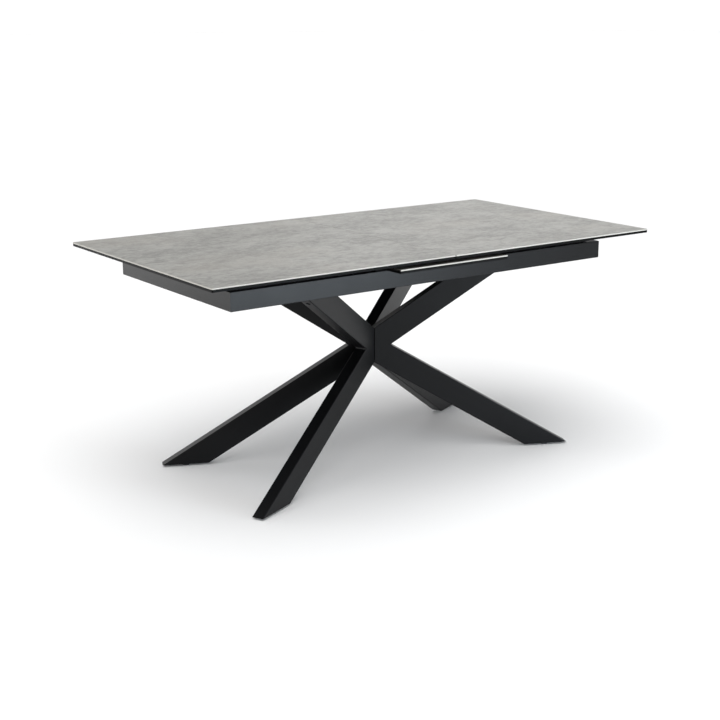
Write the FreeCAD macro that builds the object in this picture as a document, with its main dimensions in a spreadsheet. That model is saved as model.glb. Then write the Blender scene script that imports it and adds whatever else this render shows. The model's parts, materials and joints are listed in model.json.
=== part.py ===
import FreeCAD, Part
import Sketcher
import math
import os
import re

# Extendable dining table, in millimetres. X runs along the table, the front faces -Y and Z is up.
# The origin is on the floor under the middle of the top.

SIZES = {
    # top: two halves that slide apart, each a ceramic slab bonded to a glass slab
    "top_length": 1680,
    "top_width": 900,
    "table_height": 755,
    "ceramic_thickness": 4,
    "glass_thickness": 8,
    "glass_inset": 0.5,
    "top_corner_radius": 4,
    "seam_corner_radius": 2,
    "ceramic_edge_break": 0.8,
    "seam_gap": 0.8,
    "half_travel": 210,
    # loose leaf, stored under the seam
    "leaf_length": 420,
    "leaf_gap": 10,
    "leaf_rest_height": 8,
    "leaf_rest_depth": 26,
    "leaf_lip_thickness": 8,
    "leaf_lip_height": 14,
    "leaf_side_clearance": 1.5,
    "rest_screw_radius": 2,
    "rest_screw_head_radius": 4,
    "rest_screw_head_height": 2.5,
    "rest_screw_length": 10,
    "rest_screw_reach": 150,
    "felt_thickness": 2,
    "felt_margin": 4,
    # steel frame
    "apron_overhang": 110,
    "apron_end_overhang": 118,
    "apron_height": 57,
    "apron_depth": 30,
    "apron_wall": 2,
    "apron_edge_radius": 1.5,
    "rail_height": 30,
    "rail_wall": 3,
    "cross_rail_width": 140,
    "gear_rail_width": 60,
    # crossed base of rectangular tube
    "tube_height": 80,
    "tube_width": 40,
    "tube_wall": 3,
    "tube_edge_radius": 2.5,
    "spread_angle": 25,
    "hub_offset": 10,
    "arm_angle": 33,
    "leg_angle": 31.2,
    "crotch_reach": 65,
    "crotch_height": 389,
    "hub_seam_gap": 3,
    "hub_plate_thickness": 6,
    "hub_plate_clearance": 0.5,
    "hub_screw_radius": 5,
    "hub_screw_offset": 22,
    "hub_access_radius": 9,
    "hub_access_depth": 17,
    # arm bolts
    "arm_plate_thickness": 6,
    "bolt_radius": 4,
    "bolt_head_radius": 6.5,
    "bolt_head_height": 8,
    "bolt_length": 22,
    "bolt_hole_radius": 4.5,
    "bolt_inner_setback": 81,
    "bolt_outer_setback": 39,
    "bolt_access_radius": 7.5,
    "nut_height": 8,
    "nut_radius": 7.5,
    "thread_clearance": 0.05,
    # feet
    "glide_height": 7,
    "glide_radius": 13,
    "glide_stem_radius": 4,
    "glide_stem_length": 16,
    "glide_sole_thickness": 2,
    "foot_plate_thickness": 4,
    # guides in the long aprons and the shoes that run in them
    "channel_height": 20,
    "channel_depth": 18,
    "channel_wall": 2,
    "channel_top_drop": 3,
    "channel_end_gap": 2,
    "stop_thickness": 5,
    "stop_clearance": 0.5,
    "shoe_length": 60,
    "shoe_clearance": 0.3,
    "inner_shoe_reach": 252,
    "bracket_thickness": 3,
    "bracket_length": 50,
    "bracket_clearance": 0.5,
    "bracket_screw_spacing": 30,
    "screw_radius": 2.5,
    "screw_head_radius": 4.5,
    "screw_head_height": 3,
    "screw_length": 12,
    # carriers under each half
    "runner_width": 30,
    "runner_wall": 2,
    "runner_lift": 2,
    "runner_start": 232,
    "runner_end": 700,
    "runner_inboard": 6,
    "bar_height": 20,
    "bar_width": 30,
    "bar_margin": 6,
    "lug_thickness": 4,
    "lug_width": 30,
    "lug_root": 60,
    "lug_reach": 20,
    "lug_near": 115,
    "lug_far": 235,
    # gear that makes both halves move together
    "gear_module": 2,
    "gear_teeth": 24,
    "gear_backlash": 0.3,
    "gear_width": 12,
    "gear_boss_radius": 12,
    "gear_boss_height": 3,
    "axle_radius": 6,
    "axle_clearance": 0.05,
    "axle_head_radius": 10,
    "axle_head_height": 4,
    "axle_head_gap": 0.3,
    "axle_thread_length": 14,
    "rack_back": 10,
    "rack_bracket_length": 24,
    "rack_spare_teeth": 3,
}

# Sizes that follow from the ones above.
FOLLOWS = {
    "slab": "(ceramic_thickness + glass_thickness)",
    "top_under": "(table_height - slab)",
    "leaf_top": "(top_under - leaf_gap)",
    "leaf_under": "(leaf_top - slab)",
    "apron_top": "(leaf_under - felt_thickness - leaf_rest_height)",
    "apron_bottom": "(apron_top - apron_height)",
    "apron_x": "(top_length / 2 - apron_end_overhang)",
    "apron_y": "(top_width / 2 - apron_overhang)",
    "inner_x": "(apron_x - apron_depth)",
    "apron_middle_y": "(apron_y - apron_depth / 2)",
    "inner_y": "(apron_y - apron_depth)",
    "rail_top": "(apron_bottom + rail_height)",
    "half_tube": "(tube_width / 2)",
    "arm_rise": "(tube_height / cos(arm_angle))",
    "arm_wall_rise": "(tube_wall / cos(arm_angle))",
    "leg_rise": "(tube_height / cos(leg_angle))",
    "leg_wall_rise": "(tube_wall / cos(leg_angle))",
    "arm_low_reach": "(crotch_reach + (apron_bottom - crotch_height) / tan(arm_angle))",
    "arm_high_reach": "(arm_low_reach - tube_height / sin(arm_angle))",
    "bolt_inner_reach": "(arm_low_reach - bolt_inner_setback)",
    "bolt_outer_reach": "(arm_low_reach - bolt_outer_setback)",
    "foot_far_reach": "(crotch_reach + (crotch_height - glide_height) / tan(leg_angle))",
    "foot_near_reach": "(foot_far_reach - tube_height / sin(leg_angle))",
    "foot_reach": "((foot_far_reach + foot_near_reach) / 2)",
    "nose_top": "(crotch_height - crotch_reach * tan(arm_angle) + arm_rise)",
    "nose_bottom": "(crotch_height + crotch_reach * tan(leg_angle) - leg_rise)",
    "mitre_reach": "(hub_seam_gap / 2 * cos(spread_angle) - hub_offset * sin(spread_angle))",
    "nose_reach": "(mitre_reach - tube_wall)",
    "cavity_reach": "(nose_reach - 10)",
    "cross_rail_x": "((arm_low_reach + arm_high_reach) / 2 * cos(spread_angle))",
    "channel_top": "(apron_top - channel_top_drop)",
    "channel_bottom": "(channel_top - channel_height)",
    "channel_mouth_y": "(inner_y - channel_depth)",
    "channel_end": "(inner_x - channel_end_gap)",
    "runner_bottom": "(apron_top + runner_lift)",
    "runner_y": "(channel_mouth_y - runner_inboard + runner_width / 2 - bracket_screw_spacing / 2)",
    "outer_shoe_reach": "(channel_end - stop_thickness - stop_clearance - half_travel - shoe_length / 2)",
    "bracket_y": "(channel_mouth_y - bracket_clearance)",
    "bracket_flange_y": "(runner_y - runner_width / 2 + runner_wall)",
    "bracket_screw_y": "((bracket_flange_y + bracket_y - bracket_thickness) / 2)",
    "pitch_radius": "(gear_module * gear_teeth / 2)",
    "tooth_pitch": "(gear_module * pi)",
    "gear_bottom": "(rail_top + gear_boss_height)",
    "rack_root": "(pitch_radius + gear_module * 1.25)",
    "rack_far_y": "(rack_root + rack_back)",
    "bar_under": "(top_under - bar_height)",
    "inner_bar_x": "(runner_start + bar_margin)",
}

os.makedirs("parts", exist_ok=True)
doc = FreeCAD.newDocument("dining_table")
sheet = doc.addObject("Spreadsheet::Sheet", "Sizes")
for row, (alias, size) in enumerate(SIZES.items(), start=1):
    sheet.set(f"A{row}", alias)
    sheet.set(f"B{row}", str(size))
    sheet.setAlias(f"B{row}", alias)
doc.recompute()

WORD = re.compile(r"[a-z]\w*")
nodes = []


def formula(text):
    """Turn a formula in the names above into an expression on the sheet's cells."""
    text = str(text)
    while any(word in FOLLOWS for word in WORD.findall(text)):
        text = WORD.sub(lambda found: FOLLOWS.get(found[0], found[0]), text)
    return WORD.sub(lambda found: "Sizes." + found[0] if found[0] in SIZES else found[0], text)


def number(text):
    """The present value of a formula."""
    return float(sheet.evalExpression(formula(text)))


def node(thing, label):
    """Name an object as a piece of the table that gets its own file."""
    thing.Label = label
    nodes.append(thing)
    return thing


def place(thing, x=0, y=0, z=0, turn=0):
    """Put an object at x, y, z, turned about the vertical by an angle in degrees."""
    thing.setExpression("Placement.Base.x", formula(x))
    thing.setExpression("Placement.Base.y", formula(y))
    thing.setExpression("Placement.Base.z", formula(z))
    if turn != 0:
        thing.setExpression("Placement.Rotation.Angle", formula(f"({turn}) * 1 deg"))
        thing.setExpression("Placement.Rotation.Axis.z", "1")
    return thing


def box(name, low, size):
    """A block from its lowest corner and its size, each three formulas."""
    thing = doc.addObject("Part::Box", name)
    for axis, extent in zip(("Length", "Width", "Height"), size):
        thing.setExpression(axis, formula(extent))
    return place(thing, *low)


def cylinder(name, radius, height, x=0, y=0, z=0):
    """An upright cylinder standing on x, y, z."""
    thing = doc.addObject("Part::Cylinder", name)
    thing.setExpression("Radius", formula(radius))
    thing.setExpression("Height", formula(height))
    return place(thing, x, y, z)


def joined(kind, name, shapes):
    """Fuse shapes, or cut all the later ones from the first."""
    result = shapes[0]
    for step, tool in enumerate(shapes[1:]):
        pair = doc.addObject("Part::" + kind, f"{name}_{kind}_{step}")
        pair.Base = result
        pair.Tool = tool
        result = pair
    return result


def body(name, x=0, y=0, z=0, turn=0):
    thing = doc.addObject("PartDesign::Body", name)
    return place(thing, x, y, z, turn)


def origin_plane(thing, role):
    return next(plane for plane in thing.Origin.OriginFeatures if plane.Role == role)


def sketch(thing, name, role, lift=0):
    """An empty sketch on one of the body's own planes, lifted along its normal."""
    drawing = thing.newObject("Sketcher::SketchObject", name)
    drawing.AttachmentSupport = [(origin_plane(thing, role), "")]
    drawing.MapMode = "FlatFace"
    if lift != 0:
        drawing.setExpression("AttachmentOffset.Base.z", formula(lift))
    return drawing


def fix(drawing, kind, place_in_sketch, text):
    """Hold one distance or radius in a sketch to a formula."""
    index = drawing.addConstraint(Sketcher.Constraint(kind, *place_in_sketch, number(text)))
    drawing.setExpression(f"Constraints[{index}]", formula(text))


def outline(drawing, corners):
    """A closed outline through corners, each a pair of formulas."""
    points = [FreeCAD.Vector(number(across), number(up), 0) for across, up in corners]
    first = drawing.GeometryCount
    count = len(points)
    for step, point in enumerate(points):
        drawing.addGeometry(Part.LineSegment(point, points[(step + 1) % count]), False)
    for step, (across, up) in enumerate(corners):
        line = first + step
        following = first + (step + 1) % count
        drawing.addConstraint(Sketcher.Constraint("Coincident", line, 2, following, 1))
        fix(drawing, "DistanceX", (-1, 1, line, 1), across)
        fix(drawing, "DistanceY", (-1, 1, line, 1), up)
    return drawing


def rectangle(drawing, low, high):
    return outline(drawing, [low, (high[0], low[1]), high, (low[0], high[1])])


def circle(drawing, across, up, radius):
    centre = FreeCAD.Vector(number(across), number(up), 0)
    index = drawing.addGeometry(Part.Circle(centre, FreeCAD.Vector(0, 0, 1), number(radius)), False)
    fix(drawing, "DistanceX", (-1, 1, index, 3), across)
    fix(drawing, "DistanceY", (-1, 1, index, 3), up)
    fix(drawing, "Radius", (index,), radius)
    return drawing


def pad(thing, drawing, length, middle=False):
    feature = thing.newObject("PartDesign::Pad", "Pad")
    feature.Profile = drawing
    feature.setExpression("Length", formula(length))
    if middle:
        feature.SideType = "Symmetric"
    drawing.Visibility = False
    return feature


def pocket(thing, drawing, length):
    """Cut a profile out of the body, half the length to each side, and make sure that it removed something."""
    doc.recompute()
    before = thing.Shape.Volume
    feature = thing.newObject("PartDesign::Pocket", "Pocket")
    feature.Profile = drawing
    feature.setExpression("Length", formula(length))
    feature.SideType = "Symmetric"
    doc.recompute()
    if thing.Shape.Volume >= before:
        raise RuntimeError(f"{thing.Name}: a pocket removed nothing")
    return feature


def fillet(thing, radius, wanted):
    """Round the edges of the body that pass a test."""
    doc.recompute()
    base = thing.Tip
    names = [f"Edge{place + 1}" for place, edge in enumerate(thing.Shape.Edges) if wanted(edge)]
    feature = thing.newObject("PartDesign::Fillet", "Fillet")
    feature.Base = (base, names)
    feature.setExpression("Radius", formula(radius))
    return feature


def upright(edge):
    return abs(edge.tangentAt(edge.FirstParameter).z) > 0.999


def copies(label, pattern, spots):
    """One node of separate equal solids, each copied from a pattern body to a spot."""
    doc.recompute()
    base = pattern.Shape
    solids = []
    for spot in spots:
        solids.append(base.transformed(spot.toMatrix(), True))
    thing = doc.addObject("Part::Feature", label)
    thing.Shape = Part.makeCompound(solids)
    thing.Placement = FreeCAD.Placement()
    return node(thing, label)


def spot(x, y, z, turn=0):
    """A place for a copy, from formulas, turned about the vertical."""
    rotation = FreeCAD.Rotation(FreeCAD.Vector(0, 0, 1), number(turn))
    return FreeCAD.Placement(FreeCAD.Vector(number(x), number(y), number(z)), rotation)


SIDES = (("left", -1), ("right", 1))
ENDS = (("front", -1), ("back", 1))
CORNERS = [(f"{end}_{side}", across, back) for end, back in ENDS for side, across in SIDES]


REST_SCREWS = (-1, 0, 1)


def corner_turn(across, back):
    """Angle of a leg's own plane about the vertical."""
    if across > 0:
        return f"{back} * spread_angle"
    return f"180 - {back} * spread_angle"


def sideways(back, reach):
    """Y of a point that far out in a leg's own plane, which misses the table's middle by hub_offset."""
    return f"{back} * ({reach} * sin(spread_angle) + hub_offset)"


# ---------------------------------------------------------------- top and leaf

def slab(label, x_low, x_high, under, thickness, inset, rounded, edge_break):
    """A flat plate; rounded lists the sides, -1 and 1, whose corners are free and so more rounded."""
    thing = body(label, 0, 0, under)
    drawing = sketch(thing, "Outline", "XY_Plane")
    y_high = f"top_width / 2 - {inset}"
    rectangle(drawing, (x_low, f"-({y_high})"), (x_high, y_high))
    pad(thing, drawing, thickness)
    limit = number(x_high if rounded == [1] else f"-({x_low})") - 1

    def outer(edge):
        return upright(edge) and any(edge.CenterOfMass.x * side > limit for side in rounded)

    fillet(thing, f"seam_corner_radius - {inset}", lambda edge: upright(edge) and not outer(edge))
    if rounded:
        fillet(thing, f"top_corner_radius - {inset}", outer)
    if edge_break:
        thick = number(thickness)
        level = number(under)
        fillet(thing, "ceramic_edge_break",
               lambda edge: abs(edge.BoundBox.ZMin - level - thick) < 1e-6
               and abs(edge.BoundBox.ZMax - level - thick) < 1e-6)
    return node(thing, label)


for side, across in SIDES:
    near = "seam_gap / 2"
    for name, under, thickness, inset, break_it in (
            ("ceramic", "table_height - ceramic_thickness", "ceramic_thickness", "0", True),
            ("glass", "top_under", "glass_thickness", "glass_inset", False)):
        low = f"{near} + {inset}"
        high = f"top_length / 2 - {inset}"
        if across < 0:
            low, high = f"-({high})", f"-({low})"
        slab(f"{name}_top_{side}", low, high, under, thickness, inset, [across], break_it)

for name, under, thickness, inset, break_it in (
        ("ceramic", "leaf_top - ceramic_thickness", "ceramic_thickness", "0", True),
        ("glass", "leaf_under", "glass_thickness", "glass_inset", False)):
    slab(f"{name}_leaf", f"-(leaf_length / 2 - {inset})", f"leaf_length / 2 - {inset}",
         under, thickness, inset, [], break_it)


# ---------------------------------------------------------------- steel frame

def apron(label, along, side):
    """One mitred side of the frame; along is X or Y."""
    thing = body(label, 0, 0, "apron_bottom")
    half, reach = ("apron_x", "apron_y") if along == "X" else ("apron_y", "apron_x")
    corners = [(f"-({half})", reach), (half, reach), (f"{half} - apron_depth", f"{reach} - apron_depth"),
               (f"-({half} - apron_depth)", f"{reach} - apron_depth")]
    hollow = [(f"-({half} + 1)", f"{reach} - apron_depth + apron_wall"),
              (f"{half} + 1", f"{reach} - apron_wall")]

    def turned(point):
        """The same point on this side of the frame."""
        if along == "X":
            return point[0], f"{side} * ({point[1]})"
        return f"{side} * ({point[1]})", point[0]

    drawing = outline(sketch(thing, "Outline", "XY_Plane"), [turned(point) for point in corners])
    pad(thing, drawing, "apron_height")
    cavity = rectangle(sketch(thing, "Cavity", "XY_Plane", "apron_height / 2"), *map(turned, hollow))
    pocket(thing, cavity, "apron_height - 2 * apron_wall")
    if along == "X":
        holes = sketch(thing, "RestHoles", "XY_Plane", "apron_height")
        for step in REST_SCREWS:
            circle(holes, f"{step} * rest_screw_reach", f"{side} * apron_middle_y",
                   "rest_screw_radius + thread_clearance")
        pocket(thing, holes, "3 * apron_wall")
    outer = number(reach)

    def outer_long_edge(edge):
        """Long outer edges, top and bottom."""
        centre = edge.CenterOfMass
        distance = abs(centre.y if along == "X" else centre.x)
        return abs(distance - outer) < 1e-6 and not upright(edge)

    fillet(thing, "apron_edge_radius", outer_long_edge)
    return node(thing, label)


for end, back in ENDS:
    apron(f"apron_{end}", "X", back)
for side, across in SIDES:
    apron(f"apron_{side}", "Y", across)


def rail(label, x, width, wall, holes):
    """A flat tube across the frame with upright holes, each (x, y, radius, through both walls)."""
    outer = box(label + "_outer", (f"{x} - {width} / 2", "-inner_y", "apron_bottom"),
                (width, "2 * inner_y", "rail_height"))
    inner = box(label + "_inner", (f"{x} - {width} / 2 + {wall}", "-inner_y - 1", f"apron_bottom + {wall}"),
                (f"{width} - 2 * {wall}", "2 * inner_y + 2", f"rail_height - 2 * {wall}"))
    tools = [cylinder(f"{label}_hole_{step}", hole[2], f"{wall} * 2", hole[0], hole[1], hole[3])
             for step, hole in enumerate(holes)]
    return node(joined("Cut", label, [outer, inner] + tools), label)


def bolt_spots():
    """The plan position of each arm bolt, as formulas."""
    for corner, across, back in CORNERS:
        for reach in ("bolt_inner_reach", "bolt_outer_reach"):
            yield across, back, f"{across} * {reach} * cos(spread_angle)", sideways(back, reach)


for side, across in SIDES:
    rail(f"cross_rail_{side}", f"{across} * cross_rail_x", "cross_rail_width", "rail_wall",
         [(x, y, "bolt_hole_radius", "apron_bottom - rail_wall / 2")
          for owner, back, x, y in bolt_spots() if owner == across])
rail("gear_rail", "0", "gear_rail_width", "rail_wall",
     [("0", "0", "bolt_radius + thread_clearance", "rail_top - rail_wall * 1.5")])


# ---------------------------------------------------------------- crossed base

def quadrant_cut(thing, mirror):
    """Trim a member to its own quarter: a mitre on y = 0 and a seam gap on x = 0."""
    size = "(4 * tube_width)"
    gap_y = "(hub_seam_gap / 2 * sin(spread_angle) + hub_offset * cos(spread_angle))"
    corners = [("mitre_reach", gap_y),
               (f"mitre_reach + {size} * sin(spread_angle)", f"{gap_y} - {size} * cos(spread_angle)"),
               (f"-{size}", f"-{size} * cos(spread_angle)"), (f"-{size}", f"{size} * sin(spread_angle)"),
               (f"mitre_reach + {size} * cos(spread_angle)", f"{gap_y} + {size} * sin(spread_angle)")]
    drawing = outline(sketch(thing, "Quadrant", "XY_Plane"),
                      [(across, f"{mirror} * ({up})") for across, up in corners])
    pocket(thing, drawing, "3 * table_height")


def member(label, across, back, profile, hollow, holes):
    """A tube in an upright plane that passes beside the table's middle, drawn as reach and height."""
    own = body(label + "_tube", 0, sideways(back, 0), turn=corner_turn(across, back))
    pad(own, outline(sketch(own, "Side", "XZ_Plane"), profile), "tube_width", middle=True)
    fillet(own, "tube_edge_radius", long_edge)
    pocket(own, outline(sketch(own, "Cavity", "XZ_Plane"), hollow), "tube_width - 2 * tube_wall")
    for reach, low, high in holes:
        drawing = circle(sketch(own, "Access", "XY_Plane", f"({low} + {high}) / 2"), reach, "0",
                         "bolt_access_radius")
        pocket(own, drawing, f"{high} - ({low})")
    quadrant_cut(own, "1" if across * back < 0 else "-1")
    if across > 0:
        return node(own, label)
    height = "crotch_height + hub_screw_offset" if "arm" in label else "crotch_height - hub_screw_offset"
    tool = cylinder(label + "_access", "hub_access_radius", "4 * tube_width",
                    f"-(4 * tube_width + hub_access_depth)", 0, height)
    tool.setExpression("Placement.Rotation.Angle", "90 deg")
    tool.setExpression("Placement.Rotation.Axis.y", "1")
    tool.setExpression("Placement.Rotation.Axis.z", "0")
    return node(joined("Cut", label, [own, tool]), label)


def long_edge(edge):
    """True for the tube's four long edges, the ones that slope."""
    direction = edge.tangentAt(edge.FirstParameter)
    return 0.2 < abs(direction.z) < 0.98 and edge.Length > 100


for corner, across, back in CORNERS:
    member(f"arm_{corner}", across, back,
           [("nose_reach", "crotch_height"), ("crotch_reach", "crotch_height"),
            ("arm_low_reach", "apron_bottom"), ("arm_high_reach", "apron_bottom"),
            ("nose_reach", "nose_top + nose_reach * tan(arm_angle)")],
           [("cavity_reach", "crotch_height - 10"),
            ("crotch_reach - tube_wall / sin(arm_angle)", "crotch_height - 10"),
            ("crotch_reach - tube_wall / sin(arm_angle)", "crotch_height"),
            ("arm_low_reach - tube_wall / sin(arm_angle) + 10 / tan(arm_angle)", "apron_bottom + 10"),
            ("arm_high_reach + tube_wall / sin(arm_angle) + 10 / tan(arm_angle)", "apron_bottom + 10"),
            ("cavity_reach", "nose_top - arm_wall_rise + cavity_reach * tan(arm_angle)")],
           [(reach, f"crotch_height + ({reach} - crotch_reach) * tan(arm_angle) - 2 * bolt_access_radius",
             "apron_bottom - arm_plate_thickness")
            for reach in ("bolt_inner_reach", "bolt_outer_reach")])
    member(f"leg_{corner}", across, back,
           [("nose_reach", "crotch_height"), ("nose_reach", "nose_bottom - nose_reach * tan(leg_angle)"),
            ("foot_near_reach", "glide_height"),
            ("foot_far_reach", "glide_height"), ("crotch_reach", "crotch_height")],
           [("cavity_reach", "crotch_height + 10"),
            ("cavity_reach", "nose_bottom + leg_wall_rise - cavity_reach * tan(leg_angle)"),
            ("foot_near_reach + tube_wall / sin(leg_angle) + 10 / tan(leg_angle)", "glide_height - 10"),
            ("foot_far_reach - tube_wall / sin(leg_angle) + 10 / tan(leg_angle)", "glide_height - 10"),
            ("crotch_reach - tube_wall / sin(leg_angle)", "crotch_height"),
            ("crotch_reach - tube_wall / sin(leg_angle)", "crotch_height + 10")],
           [])


def end_plate(name, near, far, low, high, slope_back, holes):
    """A plate that closes a tube's end from inside; its sides follow the tube's slope."""
    own = body(name)
    thickness = f"({high} - ({low}))"
    drop = f"{thickness} * ({slope_back})"
    drawing = outline(sketch(own, "Side", "XZ_Plane"),
                      [(near, high), (far, high), (f"{far} + {drop}", low), (f"{near} + {drop}", low)])
    pad(own, drawing, "tube_width - 2 * tube_wall", middle=True)
    for reach, radius in holes:
        drawing = circle(sketch(own, "Hole", "XY_Plane", f"({low} + {high}) / 2"), reach, "0", radius)
        pocket(own, drawing, f"2 * {thickness}")
    return own


corner_spots = [spot(0, sideways(back, 0), 0, corner_turn(across, back)) for corner, across, back in CORNERS]
arm_plate = end_plate("arm_plate_pattern", "arm_high_reach + tube_wall / sin(arm_angle)",
                      "arm_low_reach - tube_wall / sin(arm_angle)",
                      "apron_bottom - arm_plate_thickness", "apron_bottom", "-1 / tan(arm_angle)",
                      [("bolt_inner_reach", "bolt_hole_radius"), ("bolt_outer_reach", "bolt_hole_radius")])
copies("arm_end_plates", arm_plate, corner_spots)
foot_plate = end_plate("foot_plate_pattern",
                       "foot_near_reach + tube_wall / sin(leg_angle) - foot_plate_thickness / tan(leg_angle)",
                       "foot_far_reach - tube_wall / sin(leg_angle) - foot_plate_thickness / tan(leg_angle)",
                       "glide_height", "glide_height + foot_plate_thickness", "1 / tan(leg_angle)",
                       [("foot_reach", "glide_stem_radius + thread_clearance")])
copies("foot_plates", foot_plate, corner_spots)


def turned_piece(name, steps):
    """A round piece from its radius at each height: pairs of (radius, height)."""
    own = body(name)
    profile = [("0", steps[0][1])] + steps + [("0", steps[-1][1])]
    drawing = outline(sketch(own, "Profile", "XZ_Plane"), profile)
    feature = own.newObject("PartDesign::Revolution", "Revolution")
    feature.Profile = drawing
    feature.ReferenceAxis = (drawing, ["V_Axis"])
    feature.Angle = 360
    doc.recompute()
    return own


glide = turned_piece("glide_pattern", [
    ("glide_radius - 1.5", "0"), ("glide_radius", "glide_sole_thickness"),
    ("glide_radius", "glide_height - 2"), ("glide_radius - 2", "glide_height"),
    ("glide_stem_radius", "glide_height"), ("glide_stem_radius", "glide_height + glide_stem_length")])
copies("foot_glides", glide, [
    spot(f"{across} * foot_reach * cos(spread_angle)", sideways(back, "foot_reach"), 0)
    for corner, across, back in CORNERS])


def hex_pocket(own, across_flats, height, depth):
    """A hexagon socket in a screw head, half as deep as the given depth."""
    side = f"({across_flats} / 2 / cos(30))"
    corners = [(f"{side} * cos({60 * step})", f"{side} * sin({60 * step})") for step in range(6)]
    drawing = outline(sketch(own, "Socket", "XY_Plane", height), corners)
    pocket(own, drawing, depth)


bolt = turned_piece("arm_bolt_pattern", [
    ("bolt_head_radius", "-bolt_head_height"), ("bolt_head_radius", "0"),
    ("bolt_radius", "0"), ("bolt_radius", "bolt_length")])
hex_pocket(bolt, "bolt_head_radius * 0.9", "-bolt_head_height", "bolt_head_height")
copies("arm_bolts", bolt, [spot(x, y, "apron_bottom - arm_plate_thickness")
                           for across, back, x, y in bolt_spots()])


def nut_pattern(name, radius, bore, height):
    """A plain hexagon nut standing on its own origin."""
    own = body(name)
    corners = [(f"{radius} * cos({60 * step})", f"{radius} * sin({60 * step})") for step in range(6)]
    drawing = outline(sketch(own, "Hexagon", "XY_Plane"), corners)
    pad(own, drawing, height)
    pocket(own, circle(sketch(own, "Bore", "XY_Plane", f"{height} / 2"), "0", "0", bore), f"2 * {height}")
    return own


weld_nut = nut_pattern("weld_nut_pattern", "nut_radius", "bolt_radius + thread_clearance", "nut_height")
copies("weld_nuts", weld_nut, [spot(x, y, "apron_bottom + rail_wall") for across, back, x, y in bolt_spots()])

# The two halves of the base meet at x = 0, each closed by a plate, and two long screws clamp them.
for side, across in SIDES:
    low_x = "0" if across > 0 else "-hub_plate_thickness"
    half_width = ("(hub_offset + (half_tube - tube_wall) / cos(spread_angle)"
                  " + hub_seam_gap / 2 * tan(spread_angle) - hub_plate_clearance)")
    low_z = "(nose_bottom - mitre_reach * tan(leg_angle) + leg_wall_rise + hub_plate_clearance)"
    high_z = "(nose_top + mitre_reach * tan(arm_angle) - arm_wall_rise - hub_plate_clearance)"
    plate = body(f"hub_plate_{side}_body", low_x)
    drawing = rectangle(sketch(plate, "Outline", "YZ_Plane"),
                        (f"-{half_width}", low_z), (half_width, high_z))
    pad(plate, drawing, "hub_plate_thickness")
    for direction in (-1, 1):
        drawing = circle(sketch(plate, "Hole", "YZ_Plane", "hub_plate_thickness / 2"), "0",
                         f"crotch_height + {direction} * hub_screw_offset",
                         "hub_screw_radius + thread_clearance")
        pocket(plate, drawing, "2 * hub_plate_thickness")
    node(plate, f"hub_plate_{side}")

hub_screw = turned_piece("hub_screw_pattern", [
    ("hub_screw_radius * 1.6", "-hub_screw_radius * 2"), ("hub_screw_radius * 1.6", "0"),
    ("hub_screw_radius", "0"), ("hub_screw_radius", "2 * hub_plate_thickness + 10")])
hex_pocket(hub_screw, "hub_screw_radius * 1.6", "-hub_screw_radius * 2", "hub_screw_radius * 2")
hub_nut = nut_pattern("hub_nut_pattern", "hub_screw_radius * 1.9", "hub_screw_radius + thread_clearance", "8")
ALONG_X = FreeCAD.Rotation(FreeCAD.Vector(0, 1, 0), 90)


def hub_spots(x):
    """Places for the hub's fasteners, laid along X."""
    return [FreeCAD.Placement(FreeCAD.Vector(number(x), 0, number(
        f"crotch_height + {direction} * hub_screw_offset")), ALONG_X) for direction in (-1, 1)]


copies("hub_screws", hub_screw, hub_spots("-hub_plate_thickness"))
copies("hub_nuts", hub_nut, hub_spots("hub_plate_thickness"))


# ---------------------------------------------------------------- guides and stops

for end, back in ENDS:
    channel = body(f"guide_channel_{end}_body")
    points = [("inner_y", "channel_bottom"), ("inner_y", "channel_top"), ("channel_mouth_y", "channel_top"),
              ("channel_mouth_y", "channel_top - channel_wall"),
              ("inner_y - channel_wall", "channel_top - channel_wall"),
              ("inner_y - channel_wall", "channel_bottom + channel_wall"),
              ("channel_mouth_y", "channel_bottom + channel_wall"), ("channel_mouth_y", "channel_bottom")]
    drawing = outline(sketch(channel, "Profile", "YZ_Plane"), [(f"{back} * ({y})", z) for y, z in points])
    pad(channel, drawing, "2 * channel_end", middle=True)
    node(channel, f"guide_channel_{end}")

stop_pattern = body("stop_pattern")
pad(stop_pattern, rectangle(sketch(stop_pattern, "Face", "YZ_Plane"),
                            ("-(channel_depth - channel_wall) / 2", "-(channel_height / 2 - channel_wall)"),
                            ("(channel_depth - channel_wall) / 2", "channel_height / 2 - channel_wall")),
    "stop_thickness", middle=True)
copies("end_stops", stop_pattern, [
    spot(f"{across} * (channel_end - stop_thickness / 2)",
         f"{back} * (inner_y - channel_wall - (channel_depth - channel_wall) / 2)",
         "(channel_top + channel_bottom) / 2") for corner, across, back in CORNERS])

# ---------------------------------------------------------------- leaf rests on the long aprons

for end, back in ENDS:
    rest = body(f"leaf_rest_{end}_body", 0, f"{back} * apron_middle_y", "apron_top")
    inside = "(leaf_length / 2 + leaf_side_clearance)"
    outside = f"({inside} + leaf_lip_thickness)"
    drawing = outline(sketch(rest, "Side", "XZ_Plane"), [
        (f"-{outside}", "0"), (outside, "0"), (outside, "leaf_lip_height"), (inside, "leaf_lip_height"),
        (inside, "leaf_rest_height"), (f"-{inside}", "leaf_rest_height"), (f"-{inside}", "leaf_lip_height"),
        (f"-{outside}", "leaf_lip_height")])
    pad(rest, drawing, "leaf_rest_depth", middle=True)
    for height, radius, depth in (
            ("leaf_rest_height / 2", "rest_screw_radius + thread_clearance", "2 * leaf_rest_height"),
            ("leaf_rest_height", "rest_screw_head_radius + thread_clearance", "2 * rest_screw_head_height")):
        holes = sketch(rest, "Holes", "XY_Plane", height)
        for step in REST_SCREWS:
            circle(holes, f"{step} * rest_screw_reach", "0", radius)
        pocket(rest, holes, depth)
    node(rest, f"leaf_rest_{end}")

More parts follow.
